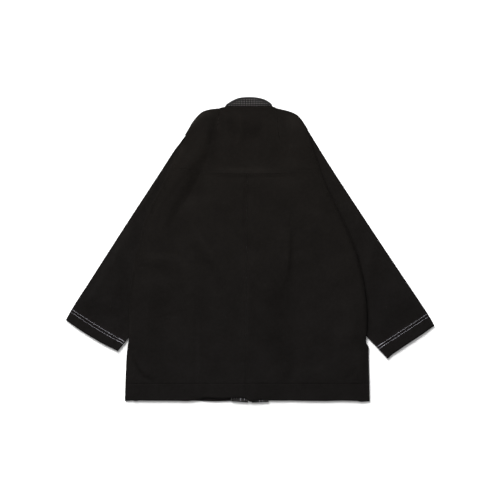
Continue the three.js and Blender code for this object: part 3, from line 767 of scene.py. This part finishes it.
def makeBackHalf(side):
    toSide = outward[side]
    hemDepth = cloth["hemDepth"]
    rowLength = body["yokeSeam"] - body["hem"]
    down = fineAtEnds(rowLength, nearSeam, cloth["grid"])[0]
    down = np.concatenate([down[down < rowLength - nearHem[-1] - 2], rowLength - np.array(nearHem)[::-1]])
    level = body["yokeSeam"] - down
    edge = sideEdge(side, level)
    width = np.abs(centreSeamAt(level) + toSide * cloth["seamGap"] / 2 - edge)
    fromSide = fineAtEnds(width, nearSeam, cloth["grid"])
    x = edge[:, None] - toSide * fromSide
    top = yokeSeamAt(x) - cloth["seamGap"]
    hem = hemAt(x)
    fromBottom = (rowLength - down)[:, None]
    # rows keep their distance to the hem near the bottom, and to the yoke seam further up
    lifted = (hem - body["hem"]) * (1 - ease(fromBottom, 0, 40))
    spaced = mix(top, hem, down[:, None] / rowLength)
    y = mix(spaced, body["hem"] + fromBottom + lifted, ease(fromBottom, 120, 60))
    fromCentre = width[:, None] - fromSide
    fromYoke = top - y
    hemUp = y - hem
    rowUp = y - body["hem"]
    turnIn = cloth["hemWall"] - cloth["wall"]
    high = backUnder(x, y) + cloth["wall"] + turnIn * (1 - ease(rowUp, 50, 110))
    low = high - mix(cloth["hemWall"], cloth["wall"], ease(rowUp, hemDepth - 0.4, hemDepth + 1.4))
    armhole = ease(y, -40, -20)
    fellOn = 0.3 if side == "left" else 1
    high = high + fellOn * armhole * fell(fromSide, y, 11)
    high = high + (1 - armhole) * (fellOn - 0.75) * (1 - ease(fromSide, 1.5, 4))
    high = high + 0.7 * yokeRidge(x) * ease(fromYoke, 9, 0)
    # the centre seam is felled to the right
    centre = 0.3 * fell(fromCentre, y, 12) if side == "right" else 0.2 * sunkRow(fromCentre, 1.5, y, 13)
    high = high + centre
    high = high + sunkRow(rowUp, hemDepth, x, 14) - 0.3 * (1 - ease(rowUp, hemDepth - 4, hemDepth + 3))
    high = high - 1.2 * (1 - ease(hemUp, 0, 5.5)) ** 2
    vent = ease(-y, -body["ventTop"] - 4, -body["ventTop"] + 6)
    facing = body["ventFacing"]
    turned = 0.4 * (1 - ease(fromSide, facing - 1, facing + 1))
    high = high + vent * (sunkRow(fromSide, facing, y, 15) + turned)
    high = high + 0.2 * softNoise(x, y, 9, 16) * np.exp(-((rowUp - hemDepth) / 30) ** 2)
    nearest = least(fromSide, hemUp, sewnAt(np.minimum(fromCentre, fromYoke)))
    wear = np.exp(-np.minimum(fromSide + 30 * armhole, hemUp) / 2.2)
    return clothPiece(
        "backCloth" + side.title(), pearlCotton, at3(x, y, high), at3(x, y, low), at3(x, y), wear, nearest
    )


def lapelEdge(side, y):
    # sewn edge of a lapel's band, where the band lies flat
    flat = band[(band[:, 3] == 0) & (np.sign(band[:, 0]) == outward[side])]
    flat = flat[np.argsort(flat[:, 1])]
    return np.interp(y, flat[:, 1], flat[:, 0]) + outward[side] * (bandShape["width"] - flat[0, 4])


def makeFront(side):
    toSide = outward[side]
    hemDepth = cloth["hemDepth"]
    top = body["frontSeam"] - cloth["seamGap"]
    bottom = body["hem"] + 2
    near = [0, 0.5, 1.2, 2.5, 5]
    down = fineAtEnds(top - bottom, near, 8)[0]
    down = np.sort(np.concatenate([down, top - bottom - hemDepth + np.array([-3, -1, 0, 1, 3])]))
    y = (top - down)[:, None]
    edge = sideEdge(side, y) - toSide
    width = np.abs(edge - lapelEdge(side, y) - toSide * cloth["seamGap"])
    fromSide = fineAtEnds(width[:, 0], near, 8)
    x = edge - toSide * fromSide
    y = y - 1.5 * np.exp(-(((x + 98) / 42) ** 2)) * (1 - ease(y - bottom, 0, 40))
    wall = mix(cloth["hemWall"], cloth["wall"], ease(y - bottom, hemDepth - 0.5, hemDepth + 1.5))
    curl = layers["endLift"] * ease(y - bottom, 26, 2) * np.exp(-(((x + 85) / 46) ** 4))
    high = wall + 0.15 * softNoise(x, y, 26, 21) - 0.1 + curl
    nearest = least(fromSide, width - fromSide, y - bottom, top - y)
    return clothPiece(
        "frontCloth" + side.title(), pearlCotton, at3(x, y, high), at3(x, y, curl), at3(x, y),
        np.exp(-nearest / 2.2), nearest,
    )


def makeYoke():
    # from the yoke seam up to the shoulders, over them, and down to a tab on each front
    lengths = runLengths(topEdge)
    whole = lengths[-1]
    near = np.array(nearSeam)
    neckAt = lengths[[neckFrom, neckTo]]
    nearNeck = np.array([0, 0.5, 1.0])
    at = np.linspace(0, whole, int(whole / 3.6))
    at = np.unique(np.concatenate([
        near, at[(at > near[-1] + 1) & (at < whole - near[-1] - 1)], whole - near,
        neckAt[0] + nearNeck, neckAt[1] - nearNeck,
    ]))
    onShoulder = (at <= neckAt[0] + 1e-6) | (at >= neckAt[1] - 1e-6)
    edge = [curveThrough(lengths, topEdge[:, k], at) for k in (0, 1)]
    slopeX, slopeY = (np.gradient(values, at) for values in edge)
    size = np.hypot(slopeX, slopeY)
    intoNeck = np.maximum(neckAt[0] - at, at - neckAt[1])
    edgeX, edgeY, outX, outY, intoNeck = (
        values[:, None] for values in (*edge, -slopeY / size, slopeX / size, intoNeck)
    )
    radius = layers["shoulderRadius"]
    reach = radius * ease(intoNeck, -1, 0)
    turnX, turnY = edgeX - reach * outX, edgeY - reach * outY
    first, last = topEdge[0, 0], topEdge[-1, 0]
    corners = sideEdge("left", yokeSeamAt(first)), sideEdge("right", yokeSeamAt(last))
    seamX = mix(*corners, (edgeX - first) / (last - first))
    seamY = yokeSeamAt(seamX)
    # back part
    rows = fineAtEnds((turnY - seamY)[:, 0], near, cloth["grid"] * 1.1)
    share = rows / (turnY - seamY)
    x = mix(seamX, turnX, share) + 5 * share * (1 - share) * edgeX / last
    y = mix(seamY, turnY, share)
    fromTop = turnY - seamY - rows
    low = mix(layers["shoulderLow"], backUnder(x, y), ease(fromTop, 0, 10))
    ends = runLengths(np.concatenate([edgeX, edgeY], 1))[:, None]
    side = np.minimum(ends, ends[-1] - ends)
    fromSide = side + 0 * x
    neck = ~onShoulder[:, None]
    fromNeck = np.where(neck, fromTop, 99.0)
    high = low + cloth["wall"] + yokeRidge(x) * ease(rows, 17, 3) * (0.7 + 0.3 * ease(rows, -0.5, 3))
    high = high + 0.25 * fell(rows, x, 31) - cloth["fellRise"] * (1 - ease(rows, 8, 11))
    high = high + fell(fromSide, y, 32) * ease(fromTop, 0, 14)
    high = high + neck * ease(intoNeck, 0, -9) * fell(fromNeck, x, 33)
    parts = [(at3(x, y, high), at3(x, y, low), at3(x, y), least(sewnAt(rows), fromSide, fromNeck))]
    # bend over the shoulder
    angles = np.linspace(0, math.pi, 13)[None, 1:]

    def bent(r):
        out = r * np.sin(angles)
        return at3(turnX + outX * out, turnY + outY * out, radius + r * np.cos(angles))

    grown = radius + 0.25 * ease(rows[:, -1:], 0, 1) * np.cos(angles / 2)
    beside = np.minimum(side, np.abs(intoNeck))
    parts.append((
        bent(grown), bent(radius - cloth["wall"]), at3(turnX, turnY + radius * angles), beside + 0 * angles,
    ))
    # tab on the front
    frontSeam = body["frontSeam"]

    def tabEnd(side, neckX, armholeX):
        lapel = lapelEdge(side, frontSeam) + outward[side] * cloth["seamGap"]
        return mix(lapel, sideEdge(side, frontSeam), (edgeX - neckX) / (armholeX - neckX))

    tabDown = np.array([0.15, 0.3, 0.45, 0.6, 0.75, 0.88, 0.95, 0.98, 0.992, 1.0])
    endX = np.where(
        edgeX < 0, tabEnd("left", body["neckLeft"], first), tabEnd("right", body["neckRight"], last)
    )
    tabX, tabY = mix(turnX, endX, tabDown), mix(turnY, frontSeam, tabDown)
    parts.append((
        at3(tabX, tabY), at3(tabX, tabY, cloth["wall"]), at3(tabX, turnY + radius * math.pi + (turnY - tabY)),
        least(beside, tabY - frontSeam),
    ))
    top, under, place, nearest = (np.concatenate(grids, 1) for grids in zip(*parts))
    keep = np.ones((len(at) - 1, top.shape[1] - 1), bool)
    keep[:, x.shape[1] - 1:] = (onShoulder[:-1] & onShoulder[1:])[:, None]
    wear = 0.5 * np.exp(-nearest / 2.2)
    wear[:, :x.shape[1]] = 0.5 * np.exp(-fromNeck / 2.2)
    return clothPiece("yokeCloth", pearlCotton, top, under, place, wear, nearest, keep)


def makeSleeve(side):
    # a flattened tube: top, bend on the body's side, underside, bend on the outer side
    shape = sleeves[side]
    outer, inner, bow, cuffBow = (
        np.array(shape[name], float) for name in ("outer", "inner", "bow", "cuffBow")
    )
    outerRun, innerRun = runLengths(outer), runLengths(inner)
    nearRow, farRow = shape["rows"]
    nearCuff = np.concatenate([
        [0, 0.35, 0.9, 1.7, 3, 6, 10, 15, 19], nearRow + np.array([-4, -1.6, -0.6, 0, 0.6, 2.4]),
        farRow + np.array([-2.4, -0.6, 0, 0.6, 1.9, 4.5]),
    ])
    share = np.linspace(0, 1, int((outerRun[-1] - nearCuff[-1]) / sleeveShape["grid"]))[:-1]
    outerAt, innerAt = (
        np.concatenate([share * (run[-1] - nearCuff[-1]), run[-1] - nearCuff[::-1]])
        for run in (outerRun, innerRun)
    )
    cuff = (outerRun[-1] - outerAt)[:, None]
    ahead = (outer[-1] - outer[-2]) / np.hypot(*(outer[-1] - outer[-2]))
    square = np.array([ahead[1], -ahead[0]]) * outward[side]
    a = np.stack([np.interp(outerAt, outerRun, outer[:, k]) for k in (0, 1)], -1)
    a = a - square * curveThrough(*bow.T, outerAt / outerRun[-1])[:, None]
    b = np.stack([curveThrough(innerRun, inner[:, k], innerAt) for k in (0, 1)], -1)
    width = np.hypot(*(b - a).T)[:, None]
    toInner = (b - a) / width
    wall = mix(cloth["hemWall"], cloth["wall"], ease(cuff, farRow + 0.5, farRow + 2.2))
    radius = np.maximum(sleeveShape["fold"], wall + 0.55)
    flat = width - 2 * radius
    across = fineAtEnds(flat[:, 0], [0, 0.8, 2, 4], sleeveShape["grid"])
    u = across / flat
    shift = ease(60 - cuff, 0, 60) * curveThrough(*cuffBow.T, u)
    shift = shift - shape["rowSkew"] * (u - 0.47) * ease(cuff, 0, 30) * (1 - ease(cuff, 46, 100))
    px, py = (a[:, k:k + 1] + toInner[:, k:k + 1] * (radius + across) + ahead[k] * shift for k in (0, 1))
    outset = -inset(px, py)
    low = sleeveShape["low"] * (1 - ease(outset, 28, 75))
    edges = np.minimum(across, flat - across)
    full = ease(edges, 0, 34)
    clear = ease(outset, -4, 42)
    puff = ease(outset, 10, 70) * full * ease(cuff, 20, 130)
    mouth = sleeveShape["mouth"] * ease(edges, 0, 46) * ease(cuff, 58, 4)
    air = sleeveShape["air"] * full * clear + sleeveShape["puff"] * puff + mouth
    gentle = 0.55 * softNoise(px, py, 52, 51 if side == "left" else 52) + 0.25 * softNoise(px, py, 19, 53)
    gentle = gentle + foldHeight(shape["folds"], px, py)
    slack = 2 * radius + ease(edges, 2, 26) * clear * (gentle * ease(cuff, 10, 60) + 0.6)
    high = low + slack + air - 1.2 * full
    high = np.maximum(high, low + 2 * wall + 0.5) - 0.9 * (1 - ease(cuff, 0, 4.5)) ** 2
    rows = sunkRow(cuff, nearRow, across, 54) + sunkRow(cuff, farRow, across, 55)
    high = high + 0.7 * rows * ease(edges, 0, 3) + 0.2 * softNoise(px, py, 8, 56) * ease(cuff, 45, 10)
    # the body presses on it
    pressed = np.minimum(high, backUnder(px, py) - 0.45)
    covered = np.maximum(ease(outset, 3, -3), 0.999 * (outset < 1))
    high = np.where(outset < 3, mix(high, pressed, covered), high)

    def wallPart(at, inwards, place):
        return at, at + inwards * wall[..., None], place

    reversedAcross = (slice(None), slice(None, None, -1))
    arc = math.pi / 2 - 1
    distance = (px - a[:, :1]) * square[0] + (py - a[:, 1:]) * square[1] + arc * radius
    along = -(px * ahead[0] + py * ahead[1])
    top = wallPart(at3(px, py, high), np.array([0, 0, -1]), at3(distance, along))
    under = wallPart(
        at3(px, py, low)[reversedAcross], np.array([0, 0, 1]), at3(-distance, along)[reversedAcross]
    )
    turn = np.linspace(0, math.pi, 10)[1:-1]
    bends = []
    for pick, sign, angle in ((slice(-1, None), 1, turn), (slice(0, 1), -1, math.pi - turn)):
        out = at3(*(sign * toInner[:, k:k + 1] * np.sin(angle) for k in (0, 1)), np.cos(angle))
        at = at3(px[:, pick], py[:, pick], low[:, pick] + radius) + out * radius[..., None]
        fromTop = distance[:, pick] + radius * turn if sign > 0 else radius * (math.pi / 2 - angle)
        bends.append(wallPart(at, -out, at3(fromTop, along[:, pick])))
    ring = [np.concatenate(grids, 1) for grids in zip(top, bends[0], under, bends[1])]
    nearest = np.minimum(cuff, outerAt[:, None]) + 0 * ring[0][..., 0]
    onBend = np.zeros((len(cuff), len(turn)))
    fold = np.concatenate([edges, onBend, edges[reversedAcross], onBend], 1)
    wear = np.maximum(np.exp(-nearest / 2.5), 0.7 * np.exp(-fold / 2.5))
    piece = clothPiece("sleeveCloth" + side.title(), pearlCotton, *ring, wear, nearest, wrap=True)
    rowsAt = [int(np.argmin(np.abs(cuff - row))) for row in shape["rows"]]
    return piece, [(ring[0][k], ring[0][k] - ring[1][k], across.shape[1]) for k in rowsAt]


def makeBand():
    # cloth round a core, flat down both fronts and folded over round the neck
    lengths = runLengths(band[:, :2])
    nearEnd = np.arange(0, 3, 0.6)
    at = np.arange(0, lengths[-1], bandShape["station"])
    at = np.unique(np.concatenate([at, lengths[-1] - nearEnd, nearEnd]))
    x, y, heading, fold, lower = (curveThrough(lengths, band[:, k], at)[:, None] for k in range(5))
    fold = np.clip(fold, 0, 180)
    angle, heading = np.radians(fold), np.radians(heading)
    full, turn, half = bandShape["width"], bandShape["turn"], bandShape["thick"] / 2
    arc = turn * angle
    bend = np.maximum(arc, 4.0)
    rest = np.maximum(full - lower - bend, 0.6)
    width = np.sort(np.concatenate([part + 0 * lower for part in (
        np.array([0, 0.3, 0.8, 1.5, 2.5, 4]),
        4 + (lower - 4) * np.linspace(0, 1, 9)[1:-1],
        lower + bend * np.linspace(0, 1, 12),
        lower + bend + (rest - 0.5) * np.linspace(0, 1, 8)[1:],
        full + np.array([-0.3, 0]),
    )], 1), 1)
    tilt = np.clip((width - lower) / turn, 0, angle)
    past = np.maximum(width - lower - arc, 0)
    alongHeading = np.maximum(lower - width, 0) - turn * np.sin(tilt) - past * np.cos(tilt)
    z = half + turn * (1 - np.cos(tilt)) + past * np.sin(tilt)
    fromEdge = np.minimum(width, full - width)
    fromEnd = np.minimum(at - at[0], at[-1] - at)[:, None]
    share = np.clip(np.minimum(fromEdge, fromEnd * 1.2) / bandShape["edge"], 0, 1)
    thick = half * (0.3 + 0.7 * np.sqrt(1 - (1 - share) ** 2))
    rows = sum(np.exp(-(((width - row) / 0.8) ** 2)) for row in bandShape["rows"])
    along = at[:, None] + 0 * width
    bumpy = 0.18 * softNoise(along, width, 6.5, 61) + 0.16 * softNoise(along, width, 21, 62)
    skin = thick + (bumpy - 0.28 * rows) * share

    def face(offset):
        out = alongHeading - offset * np.sin(tilt)
        return at3(x + out * np.cos(heading), y + out * np.sin(heading), z - offset * np.cos(tilt))

    over, under = face(-skin), face(thick)
    curl = layers["endLift"] * ease(fromEnd, 26, 2)
    over[..., 2] += curl
    under[..., 2] = np.maximum(under[..., 2], 0) + curl
    spread = np.where(fold > 90, 1.0, -1.0) * (width - lower - arc)
    shiftX, shiftY = bandShape["gridShift"]
    place = at3(x + spread * np.cos(heading) + shiftX, y + spread * np.sin(heading) + shiftY)
    # the ends of the lapels and the fold round the neck are bound in plain cloth
    farOff = 200  # where the band lies flat it has no fold
    fromFold = np.abs(width - lower - arc / 2) + farOff * (fold < 90)
    boundEnd = np.clip(1 - (fromEnd - bandShape["boundEnd"]) / 0.6, 0, 1)
    boundEdge = np.clip(1 - (fromFold - bandShape["boundEdge"]) / 0.8, 0, 1)
    return clothPiece(
        "collarBand", sashikoCloth, over, under, place, np.exp(-fromEdge / 2.0),
        plainEnd=np.maximum(boundEnd, boundEdge),
    )


yokeCloth = makeYoke()
backCloth = {side: makeBackHalf(side) for side in outward}
frontCloth = {side: makeFront(side) for side in outward}
print("yoke, back and fronts made")
sleeveCloth, cuffRows = {}, []
for side in outward:
    sleeveCloth[side], rows = makeSleeve(side)
    cuffRows += rows
collarBand = makeBand()
print("sleeves and collar made")


# Stitching

stitch = {
    "length": 3.62,
    "pitch": 3.9,
    "width": 0.45,
    "height": 0.40,
    "sides": 6,
    # share of the way to its end, girth, how far it is sunk
    "rings": [
        (-1, 0.3, -0.4), (-0.88, 0.8, -0.05), (-0.4, 1, 0.14),
        (0.4, 1, 0.14), (0.88, 0.8, -0.05), (1, 0.3, -0.4),
    ],
    "doubled": 19,  # where a cuff row is sewn twice
}
threadChance = np.random.default_rng(7)


def stitchRow(line, normals, closed=False, size=1.0, pitch=stitch["pitch"]):
    # one short raised thread after another along a line of points in millimetres
    if closed:
        line, normals = (np.concatenate([table, table[:1]]) for table in (line, normals))
    run = runLengths(line)
    middles = np.arange(pitch / 2, run[-1] - pitch / 2, pitch)
    middles = middles + threadChance.uniform(-0.12, 0.12, len(middles))
    half = stitch["length"] / 2 * size * threadChance.uniform(0.96, 1.05, len(middles))

    def at(places, table):
        return np.stack([np.interp(places, run, column) for column in table.T], -1)

    centre, up = at(middles, line), at(middles, normals)
    ahead = at(middles + 0.5, line) - at(middles - 0.5, line)
    up /= np.linalg.norm(up, axis=1)[:, None]
    ahead /= np.linalg.norm(ahead, axis=1)[:, None] + 1e-9
    sides, rings = stitch["sides"], len(stitch["rings"])
    share, girth, sink = np.repeat(stitch["rings"], sides, axis=0).T
    angle = np.tile(2 * math.pi * np.arange(sides) / sides, rings)
    alongThread = half[:, None] * share
    points = centre[:, None] + ahead[:, None] * alongThread[..., None]
    sideways = girth * stitch["width"] / 2 * size * np.cos(angle)
    points = points + np.cross(up, ahead)[:, None] * sideways[:, None]
    points = points + up[:, None] * (stitch["height"] * (sink + girth / 2 * np.sin(angle)))[:, None]
    place = at3(alongThread, angle, np.arange(len(half))[:, None] + 0.5)
    number = np.arange(rings * sides).reshape(rings, sides)
    turned = np.roll(number, -1, axis=1)
    around = np.stack([number[:-1], turned[:-1], turned[1:], number[1:]], -1).reshape(-1, 4)
    cap = np.array([(0, i, i + 1, i + 2) for i in range(1, sides - 2, 2)])
    faces = np.concatenate([around, cap[:, ::-1], cap + number[-1, 0]])
    every = faces + number.size * np.arange(len(points))[:, None, None]
    return points.reshape(-1, 3), every.reshape(-1, 4), place.reshape(-1, 3)


def joinRows(name, rows, material):
    starts = np.cumsum([0] + [len(points) for points, _, _ in rows])
    points, faces, places = zip(*rows)
    faces = [rowFaces + start for rowFaces, start in zip(faces, starts)]
    return newPiece(
        name, material, np.concatenate(points), np.concatenate(faces), clothAt=np.concatenate(places)
    )


def surfaceOf(piece):
    mesh = piece.data
    return BVHTree.FromPolygons([v.co for v in mesh.vertices], [tuple(p.vertices) for p in mesh.polygons])


def dropOn(surface, x, y):
    # lays a plan line on the top of a piece
    points, normals = [], []
    for place in at3(x * mm, y * mm, 0.1):
        hit, normal, _, _ = surface.ray_cast(Vector(place), Vector((0, 0, -1)))
        if hit is not None:
            points.append(np.array(hit) / mm)
            normals.append(np.array(normal))
    return np.array(points), np.array(normals)


whiteRows, blackRows = [], []
for line, outwards, overTop in cuffRows:
    # a cuff row runs all round the sleeve, and is sewn twice where it begins
    whiteRows.append(stitchRow(line, outwards, closed=True))
    toEnd = np.linalg.norm(line[:overTop] - line[overTop - 1], axis=1)
    again = slice(int(np.argmax(toEnd < stitch["doubled"])), overTop)
    whiteRows.append(stitchRow(line[again] + np.array([0, 0.7, 0.05]), outwards[again], size=1.15, pitch=3.2))

surfaces = {"yoke": surfaceOf(yokeCloth), **{side: surfaceOf(piece) for side, piece in backCloth.items()}}


def sewOn(where, x, y):
    points, normals = dropOn(surfaces[where], x, y)
    if len(points) > 2:
        blackRows.append(stitchRow(points, normals))


armholeTop = float(yokeSeamAt(190.0))
for side, toSide in outward.items():
    # hem, from the centre seam to the side
    nearCentre = {"left": -11.5, "right": -9.5}[side]
    atSide = sideEdge(side, body["hem"] + cloth["hemDepth"]) - toSide * 1.5
    x = np.linspace(nearCentre, atSide, 150)
    sewOn(side, x, hemAt(x) + cloth["hemDepth"])
    # facing of the side vent
    y = np.linspace(body["ventTop"], body["hem"] + 3, 70)
    sewOn(side, sideEdge(side, y) - toSide * body["ventFacing"], y)
    # armhole, on the back and on up the yoke
    for distance in cloth["fellRows"]:
        y = np.linspace(-30, armholeTop - 3, 120)
        sewOn(side, sideEdge(side, y) - toSide * distance, y)
        y = np.linspace(armholeTop + 1, 318, 50)
        sewOn("yoke", sideEdge(side, y) - toSide * distance, y)
for distance in cloth["fellRows"]:
    # yoke seam, centre seam, neck
    left, right = (float(sideEdge(side, body["yokeSeam"] + body["yokeSeamRise"])) for side in outward)
    x = np.linspace(left + 4, right - 4, 200)
    sewOn("yoke", x, yokeSeamAt(x) + distance)
    y = np.linspace(body["yokeSeam"] - 4, body["hem"] + 12, 220)
    sewOn("right", centreSeamAt(y) + distance + 0.3, y)
    sewOn("yoke", np.linspace(-50, 40, 60), body["neckline"] - distance)

# white bars at the ends of the lapels: x, y from, y to, size
bandSurface = surfaceOf(collarBand)
lapelBars = [
    (-26, -408.4, -411.6, 1.9), (-15, -408.4, -411.2, 1.8),
    (26.5, -413.6, -417.4, 1.5), (34.5, -413.4, -415.8, 1.3),
]
for x, y0, y1, size in lapelBars:
    points, normals = dropOn(bandSurface, x, np.linspace(y0, y1, 3))
    if len(points) == 3:
        whiteRows.append(stitchRow(points, normals, size=size, pitch=1.6))
cuffStitches = joinRows("whiteStitches", whiteRows, whiteThread)
seamStitches = joinRows("blackStitches", blackRows, blackThread)
print("stitching made:", len(whiteRows), "white rows,", len(blackRows), "black rows")


# Which CAD nodes the pieces stand for; those CAD parts are hidden

pieces = {
    "yoke": yokeCloth,
    "back_left": backCloth["left"],
    "back_right": backCloth["right"],
    "front_left": frontCloth["left"],
    "front_right": frontCloth["right"],
    "sleeve_left": sleeveCloth["left"],
    "sleeve_right": sleeveCloth["right"],
    "collar": collarBand,
}
for node, piece in pieces.items():
    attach(piece, "root")
    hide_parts(node)
    print(node, len(piece.data.polygons) * 2, "triangles")
for piece in (cuffStitches, seamStitches):
    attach(piece, "root")

# Floor, light and camera

studio = {
    "cameraHeight": 4.0,
    "fieldWidth": 1.375,  # metres across the picture
    "floor": (0.93, 0.93, 0.93, 1),
    "floorReach": 30,
    "floorLevel": -0.0004,  # just clear of the undersides
    # place, size in metres, power in watts
    "lamps": {
        "keyLight": ((-2.6, 5.7, 6.2), 4.6, 960),
        "lowLight": ((-3.3, 7.1, 3.4), 3.6, 920),
    },
    "skyLow": 0.8,
    "skyHigh": 0.38,
}

floorMesh = bpy.data.meshes.new("floor")
reach, floorLevel = studio["floorReach"], studio["floorLevel"]
corners = [(reach * x, reach * y, floorLevel) for x, y in ((-1, -1), (1, -1), (1, 1), (-1, 1))]
floorMesh.from_pydata(corners, [], [(0, 1, 2, 3)])
floorMaterial, floorTree = newMaterial("paleFloor")
setShader(floorTree, {"Base Color": studio["floor"], "Roughness": 0.9, "Specular IOR Level": 0.1})
floorMesh.materials.append(floorMaterial)
addObject("floor", floorMesh)

for name, (place, size, power) in studio["lamps"].items():
    lampData = bpy.data.lights.new(name, "AREA")
    lampData.shape = "DISK"
    lampData.size = size
    lampData.energy = power
    lamp = addObject(name, lampData)
    lamp.location = place
    lamp.rotation_euler = (-Vector(place)).to_track_quat("-Z", "Y").to_euler()

# the room is brighter round the walls than overhead
world = bpy.data.worlds.new("room")
world.use_nodes = True
bpy.context.scene.world = world
sky = world.node_tree
direction = addNode(sky, "TexCoord")["Generated"]
height = addNode(sky, "SeparateXYZ", {0: direction})["Z"]
backdrop = sky.nodes["Background"].inputs
feed(remap(height, 0.15, 0.75, studio["skyLow"], studio["skyHigh"]), backdrop["Strength"])
feed((1, 1, 1, 1), backdrop["Color"])

cameraData = bpy.data.cameras.new("camera")
cameraData.sensor_width = 36
cameraData.lens = 36 * studio["cameraHeight"] / studio["fieldWidth"]
cameraData.clip_end = 100
camera = addObject("camera", cameraData)
camera.location = (0, 0, studio["cameraHeight"])
bpy.context.scene.camera = camera
bpy.context.scene.view_settings.view_transform = "Standard"
print("studio made")
